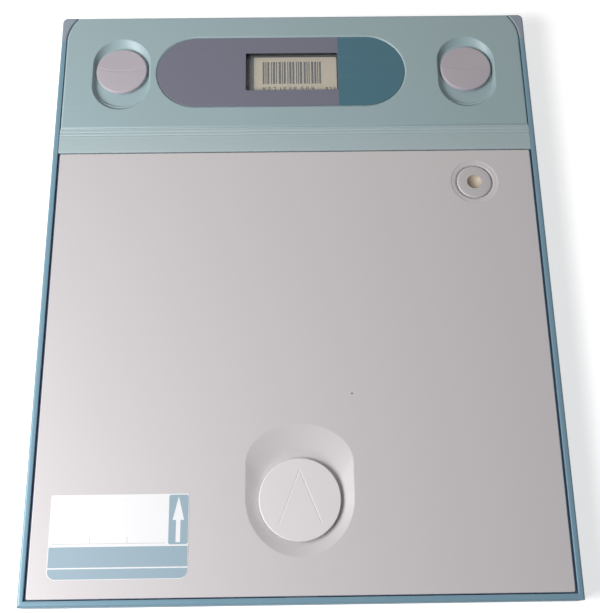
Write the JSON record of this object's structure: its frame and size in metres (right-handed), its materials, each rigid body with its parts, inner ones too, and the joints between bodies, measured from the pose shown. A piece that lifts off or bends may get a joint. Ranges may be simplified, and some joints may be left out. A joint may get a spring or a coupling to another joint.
{
  "type": "imaging plate cassette",
  "caption": "Flat hinged radiography cassette: a shallow frame closed by a header flap with sprung slide latches and a back lid with a sliding lock disc.",
  "frame": {"origin": "middle of the tube-side face, on which the cassette lies", "axes": "+X across the cassette, +Y towards the header end, +Z out of the back"},
  "size_m": [0.268, 0.328, 0.015],
  "materials": {
    "rail_teal": "satin",
    "cap_grey": "satin",
    "front_panel": "fine satin",
    "felt": "napped",
    "phosphor": "satin",
    "hinge_mint": "satin",
    "mint": "fine moulded texture",
    "inner_plastic": "moulded",
    "steel": "brushed",
    "name_plate": "semi gloss print",
    "black_plastic": "matt",
    "clear_window": "clear",
    "label_paper": "paper",
    "knob_pink": "satin",
    "spring_steel": "drawn wire",
    "back_silver": "fine metallic paint",
    "lead": "dull",
    "foam": "open cell",
    "disc_silver": "fine metallic paint",
    "writing_label": "semi gloss print"
  },
  "bodies": {
    "root": {"left_rail": "rail_teal", "right_rail": "rail_teal", "bottom_rail": "rail_teal", "top_rail": "rail_teal", "left_cap": "cap_grey", "right_cap": "cap_grey", "front_panel": "front_panel", "front_felt": "felt", "imaging_plate": "phosphor", "light_seal": "felt", "hinge_web": "hinge_mint"},
    "header": {"header_housing": "mint", "header_cover": "inner_plastic", "header_screws": "steel", "name_plate": "name_plate", "window_bezel": "black_plastic", "window_lens": "clear_window", "bar_label": "label_paper", "left_latch_spring": "spring_steel", "right_latch_spring": "spring_steel"},
    "lid": {"hinge_band": "mint", "back_plate": "back_silver", "lid_frame": "inner_plastic", "lead_foil": "lead", "pressure_foam": "foam", "lock_spring": "spring_steel", "index_plug": "disc_silver", "writing_label": "writing_label"},
    "left_latch": {"left_latch_knob": "knob_pink", "left_latch_bolt": "steel"},
    "right_latch": {"right_latch_knob": "knob_pink", "right_latch_bolt": "steel"},
    "lock": {"lock_disc": "disc_silver", "lock_bolt": "steel"}
  },
  "joints": [
    {"name": "header_hinge", "type": "hinge", "parent": "root", "child": "header", "pos_m": [0, 0.0876, 0.015], "axis": [1, 0, 0], "range_deg": [0, 70]},
    {"name": "lid_hinge", "type": "hinge", "parent": "root", "child": "lid", "pos_m": [0, 0.0876, 0.015], "axis": [-1, 0, 0], "range_deg": [0, 95], "deforming": ["hinge_web"]},
    {"name": "left_latch_slide", "type": "slide", "parent": "header", "child": "left_latch", "axis": [0, -1, 0], "range_m": [-0.0017, 0.0055], "stiffness_N_per_m": 300, "springref_m": -0.004, "deforming": ["left_latch_spring"]},
    {"name": "right_latch_slide", "type": "slide", "parent": "header", "child": "right_latch", "axis": [0, -1, 0], "range_m": [-0.0017, 0.0055], "stiffness_N_per_m": 300, "springref_m": -0.004, "deforming": ["right_latch_spring"]},
    {"name": "lock_slide", "type": "slide", "parent": "lid", "child": "lock", "axis": [0, 1, 0], "range_m": [-0.0015, 0.006], "stiffness_N_per_m": 300, "springref_m": -0.004, "deforming": ["lock_spring"]}
  ]
}
